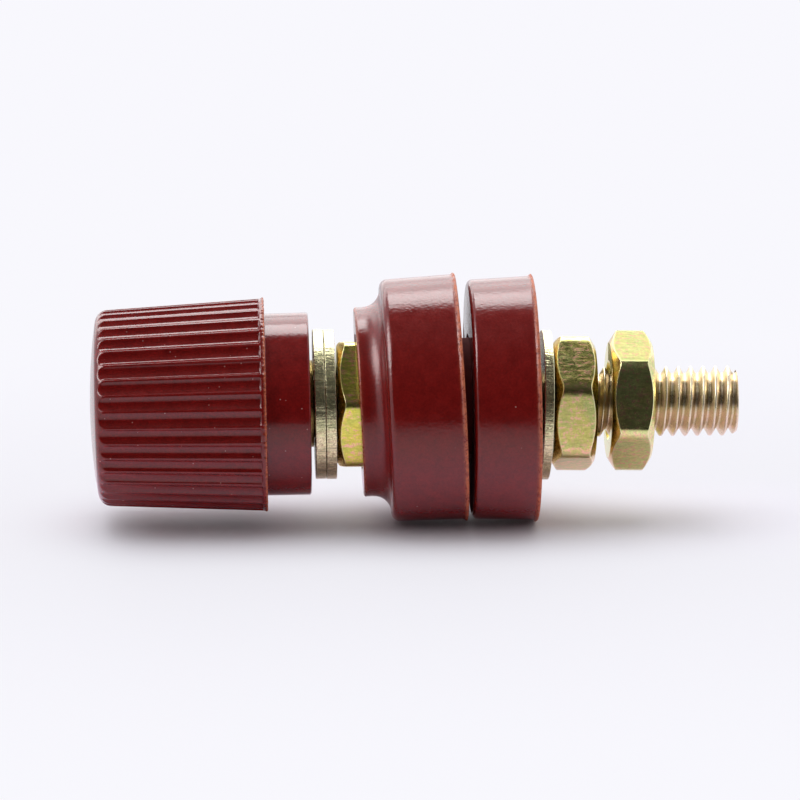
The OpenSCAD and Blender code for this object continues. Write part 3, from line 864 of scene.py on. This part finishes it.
# A stamped ring: one edge rolled over, the other crisp, with a slight ripple round its rim
def makeWasher(name, seat, thickness, seed):
    w = washer
    theta = np.arange(w["columns"]) / w["columns"] * tau
    bore, radius = stack["washerBore"], stack["washerRadius"]
    path = roundedPath([
        (0, bore, w["stampedEdge"]), (0, radius, w["rolledEdge"]),
        (thickness, radius, w["crispEdge"]), (thickness, bore, w["stampedEdge"]),
    ], steps=4, hold=w["hold"])
    x, r = pathGrids(path, len(theta))
    onRim = ramp(r, radius - 0.1, 0.08)
    r = r - onRim * (w["ripple"] + w["ripple"] * roundWave(theta, seed, 3, 60))
    edge = onRim * (bell(x, 0, 0.05) + bell(x, thickness, 0.04))
    return turnedObject(name, x, r, theta, seat, {"edge": np.clip(edge, 0, 1)})


for name, (node, seat, thickness, seed) in washerSeats.items():
    finishPiece(makeWasher(name, seat, thickness, seed), node, washerPlating)

insert = {
    "neckRadius": 2.45, "hexWidth": 6.4, "tapDepth": 6.8, "end": 4.99, "face": 12.57, "neck": 1.21,
    "sharpAngle": 40,
}


# Brass insert, in the knob's own lengths: a hexagon and a neck round a tapped blind hole, in
# rows of x and r that run from the middle of its blind end round to the middle of the hole
def makeInsert():
    i = insert
    face, end, neck, tap = i["face"], i["end"], i["neckRadius"], stack["tapRadius"]
    step = face - i["neck"]
    tapEnd = face - i["tapDepth"]
    theta = hexAngles(0.0, 30)
    hexagon = hexRadius(theta, i["hexWidth"], 0.0, knob["hexSoftness"])
    one = np.ones_like(theta)
    rows = [
        (end, 0.1 * hexagon), (end, hexagon - 0.06), (end + 0.05, hexagon),
        (step - 0.05, hexagon), (step, hexagon - 0.06), (step, (neck + 0.03) * one),
        (step + 0.03, neck * one), (face - 0.05, neck * one),
        (face - 0.02, (neck - 0.01) * one), (face, (neck - 0.05) * one),
        (face, (tap + 0.08) * one), (face - 0.06, (tap + 0.01) * one),
        (face - 0.12, tap * one), (tapEnd, tap * one),
        (tapEnd - 0.3, 0.1 * one),
    ]
    x = np.array([row[0] for row in rows])[:, None] * one
    r = np.stack([row[1] for row in rows])
    obj = turnedObject("knobInsert", x, r, theta, knob["seat"], {"edge": 0 * r}, poles=True)
    obj.data.set_sharp_from_angle(angle=np.radians(i["sharpAngle"]))
    return obj


finishPiece(makeInsert(), "knob_insert", insertBrass)
print("pieces made")

studio = {
    "background": (0.955, 0.95, 1.0, 1), "worldTint": (0.97, 0.98, 1.0, 1),
    "frontEdge": -39.0,  # the floor is reflected from here back
    "farEdge": 2500, "gap": 0.00002,
    "ambient": 0.76, "frontAmbient": 0.10, "ambientFrom": -0.85, "ambientTo": -0.05,
}


# 1 for rays from the camera and for those that mirror or pass through something, 0 for the rest
def seenRays(n):
    path = n.add("ShaderNodeLightPath").outputs
    mirrored = n.math("MAXIMUM", path["Is Glossy Ray"], path["Is Transmission Ray"])
    return n.math("MAXIMUM", path["Is Camera Ray"], mirrored)


# Plain surfaces get a level that rises from the front to the back, all other rays the background
def setWorld():
    world = bpy.data.worlds.new("studio")
    bpy.context.scene.world = world
    n = emptyTree(world)
    level = n.span(n.split(n.coordinates("Generated"))["Y"], studio["ambientFrom"], studio["ambientTo"],
                   studio["frontAmbient"], studio["ambient"])
    plain = n.add("ShaderNodeBackground", {"Color": studio["worldTint"], "Strength": level})
    white = n.add("ShaderNodeBackground", {"Color": studio["background"], "Strength": 1.0})
    n.surface(n.mixShaders(seenRays(n), plain, white), "ShaderNodeOutputWorld")


setWorld()

# Lengths here are in metres, as the shader has them
floorLook = {
    "floor": (0.82, 0.80, 0.88, 1), "mirrored": (0.98, 0.84, 1.0, 1), "roughness": 0.6, "ior": 1.3,
    "axisHalf": 0.016,
    "clearSteps": ((0.001, 0.0115, 0.8), (0.012, 0.060, 0.2)),  # from, to, share
    "mirroredFrom": 0.003, "mirroredTo": 0.0088, "tintFrom": 0.008, "tintTo": 0.016,
    "frontFrom": -0.036, "frontTo": -0.012, "frontLevel": 0.45,
    "nearLevel": 0.925, "farLevel": 0.985, "farFrom": 0.05,
}


# A matt white sheet that takes the shadow near the object, lightened there by painted light, a glow
# mixed in, and is plain white further off. Its distance is measured from the object's long axis, and
# what the gloss sees of it is mauve and, as painted shade, darker towards the front.
def floorSheetMaterial():
    f = floorLook
    material, n, shader, vector = newMaterial("paleFloor")
    place = n.split(vector)
    beyond = n.math("SUBTRACT", n.math("ABSOLUTE", place["X"]), f["axisHalf"])
    beyond = n.math("MAXIMUM", beyond, 0.0)
    flat = n.add("ShaderNodeCombineXYZ", {0: beyond, 1: place["Y"]}).outputs[0]
    out = n.add("ShaderNodeVectorMath", {0: flat}, operation="LENGTH").outputs["Value"]
    # clear: the share of glow, painted light that lightens the cast shadow near the object for the
    # camera, and the floor near it for the gloss
    clear = 0.0
    for low, high, share in f["clearSteps"]:
        clear = n.plus(n.span(out, low, high, 0.0, share, "SMOOTHSTEP"), clear)
    camera = n.add("ShaderNodeLightPath").outputs["Is Camera Ray"]
    mirroredClear = n.times(n.span(out, f["mirroredFrom"], f["mirroredTo"]),
                           n.math("SUBTRACT", seenRays(n), camera))
    clear = n.plus(n.times(clear, camera), mirroredClear)
    # painted shade: the floor as all but camera rays see it darkens towards the front
    falling = n.span(place["Y"], f["frontFrom"], f["frontTo"], f["frontLevel"], 1.0)
    seen = n.span(out, 0.0, f["farFrom"], f["nearLevel"], f["farLevel"], "SMOOTHSTEP")
    level = n.mix(camera, falling, seen)
    mirrored = n.mix(n.span(out, f["tintFrom"], f["tintTo"]), f["mirrored"], studio["background"])
    colour = n.mix(camera, mirrored, f["floor"])
    n.link(n.mix(1.0, colour, n.grey(level), "MULTIPLY"), shader, "Base Color")
    shader.inputs["Roughness"].default_value = f["roughness"]
    shader.inputs["IOR"].default_value = f["ior"]
    glow = n.add("ShaderNodeEmission", {
        "Color": n.mix(camera, mirrored, studio["background"]), "Strength": level})
    both = n.mixShaders(clear, shader, glow)
    below = n.add("ShaderNodeNewGeometry").outputs["Backfacing"]  # seen through from below
    n.surface(n.mixShaders(below, both, n.add("ShaderNodeBsdfTransparent")))
    return material


floorMaterial = floorSheetMaterial()


# A mesh object from points in metres, without shading of its own
def plainObject(name, points, faces):
    mesh = bpy.data.meshes.new(name)
    mesh.from_pydata(points, [], faces)
    return newObject(name, mesh)


# A flat sheet between two corners, in millimetres, just below the object's lowest point
def floorSheet(name, low, high):
    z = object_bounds()[0][2] - studio["gap"]
    corners = np.array([(low[0], low[1]), (high[0], low[1]), (high[0], high[1]), (low[0], high[1])]) * mm
    sheet = plainObject(name, [(x, y, z) for x, y in corners], [(0, 1, 2, 3)])
    sheet.data.materials.append(floorMaterial)
    sheet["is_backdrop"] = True
    return sheet


far = studio["farEdge"]
floorSheet("floor", (-far, studio["frontEdge"]), (far, far))
frontFloor = floorSheet("frontFloor", (-far, -far), (far, studio["frontEdge"]))
frontFloor.visible_glossy = False


def glossOnly(obj):
    for rays in ("camera", "diffuse", "shadow", "transmission"):
        setattr(obj, "visible_" + rays, False)


# Narrower above the bend; its shade rises from dark at the low height to top at the high one
curvedCard = {
    "radius": 420.0, "from": -60.0, "to": 108.0, "rows": 48, "halfWidth": 420.0, "upperHalfWidth": 140.0,
    "bend": (46, 60), "tint": (1, 0.96, 0.93, 1), "dark": 0.042, "top": 0.10, "low": 0.08, "high": 0.42,
}


# A dark card curved round the front and over the top, an arc carried along X, which only the
# gloss sees
def darkCard():
    c = curvedCard
    angle = np.radians(np.linspace(c["from"], c["to"], c["rows"]))
    half = np.interp(np.degrees(angle), c["bend"], [c["halfWidth"], c["upperHalfWidth"]])
    points = np.stack(np.broadcast_arrays(
        half[:, None] * [-1, 1],
        -c["radius"] * np.cos(angle)[:, None],
        c["radius"] * np.sin(angle)[:, None],
    ), -1)
    index = np.arange(2 * c["rows"]).reshape(-1, 2)
    quads = np.stack([index[:-1, 0], index[:-1, 1], index[1:, 1], index[1:, 0]], -1)
    obj = plainObject("darkCard", (points.reshape(-1, 3) * mm).tolist(), quads.tolist())
    material = bpy.data.materials.new("darkCard")
    n = emptyTree(material)
    shade = n.span(n.split(n.coordinates("Object"))["Z"], c["low"], c["high"], c["dark"], c["top"])
    n.surface(n.add("ShaderNodeEmission", {"Color": c["tint"], "Strength": shade}))
    obj.data.materials.append(material)
    glossOnly(obj)
    obj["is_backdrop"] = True


darkCard()

glossCards = {
    "overheadCard": {"towards": (0.05, 0.53, 0.848), "distance": 300.0, "size": (190.0, 136.0),
                     "radiance": 7.0, "soft": 0.1},
    "sideCard": {"towards": (-0.77, -0.14, 0.63), "distance": 300.0, "size": (320.0, 320.0),
                 "radiance": 8.0, "soft": 0.3},
    "upperBackCard": {"towards": (0.0, 0.829, 0.559), "distance": 400.0, "size": (700.0, 176.0),
                      "radiance": 2.9, "soft": 0.08},
    "backCard": {"towards": (0.0, 0.982, 0.19), "distance": 400.0, "size": (700.0, 150.0),
                 "radiance": 1.9, "soft": 0.06},
}


# Flat card at a distance in this direction that only the gloss sees, with soft edges: its light
# falls off over the outer part of its width and height
def glossCard(name, c):
    away = Vector(c["towards"]).normalized()
    turn = np.array(away.to_track_quat("Z", "Y").to_matrix())
    width, height = c["size"]
    flat = np.array([(-1, -1, 0), (1, -1, 0), (1, 1, 0), (-1, 1, 0)]) * [width / 2, height / 2, 0]
    points = (flat @ turn.T + np.array(away) * c["distance"]) * mm
    obj = plainObject(name, points.tolist(), [(0, 1, 2, 3)])
    uv = obj.data.uv_layers.new(name="flat").uv
    uv.foreach_set("vector", [0.0, 0.0, 1.0, 0.0, 1.0, 1.0, 0.0, 1.0])
    material = bpy.data.materials.new(name)
    n = emptyTree(material)
    place = n.split(n.coordinates("UV"))
    inside = 1.0
    for axis in "XY":
        near = n.math("MINIMUM", place[axis], n.math("SUBTRACT", 1.0, place[axis]))
        inside = n.times(n.span(near, 0.0, c["soft"]), inside)
    glow = n.add("ShaderNodeEmission", {"Strength": n.times(inside, c["radiance"])})
    n.surface(n.mixShaders(inside, n.add("ShaderNodeBsdfTransparent"), glow))
    obj.data.materials.append(material)
    glossOnly(obj)
    obj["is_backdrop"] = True


for name, look in glossCards.items():
    glossCard(name, look)

overheadBox = {"towards": (0.0, 0.16, 1.0), "distance": 400.0, "size": (460.0, 460.0), "radiance": 1.52}


# A soft lamp of this radiance, seen by plain surfaces only: power is radiance x pi x area
def softLamp(name, p):
    lamp = bpy.data.lights.new(name, "AREA")
    lamp.shape = "RECTANGLE"
    lamp.size = p["size"][0] * mm
    lamp.size_y = p["size"][1] * mm
    lamp.energy = p["radiance"] * np.pi * lamp.size * lamp.size_y
    obj = newObject(name, lamp)
    towards = Vector(p["towards"]).normalized()
    obj.location = towards * p["distance"] * mm
    obj.rotation_euler = towards.to_track_quat("Z", "Y").to_euler()
    obj.visible_glossy = False


softLamp("overheadBox", overheadBox)

view = {
    "yaw": 2.2, "height": 13.0, "distance": 260.0, "target": (-3.45, 0.0, 0.2), "width": 45.2,
    "sensor": 36.0, "nearest": 0.001,
}


# A camera at this yaw and height about its target, with the lens that makes the view this wide
def setCamera():
    v = view
    camera = bpy.data.cameras.new("camera")
    obj = newObject("camera", camera)
    yaw = np.radians(v["yaw"])
    height = np.radians(v["height"])
    towards = Vector((-np.sin(yaw) * np.cos(height), -np.cos(yaw) * np.cos(height), np.sin(height)))
    obj.location = (Vector(v["target"]) + towards * v["distance"]) * mm
    obj.rotation_euler = towards.to_track_quat("Z", "Y").to_euler()
    camera.sensor_width = v["sensor"]
    camera.lens = camera.sensor_width * v["distance"] / v["width"]
    camera.clip_start = v["nearest"]
    bpy.context.scene.camera = obj


setCamera()
bpy.context.scene.view_settings.view_transform = "Standard"
print("studio set")
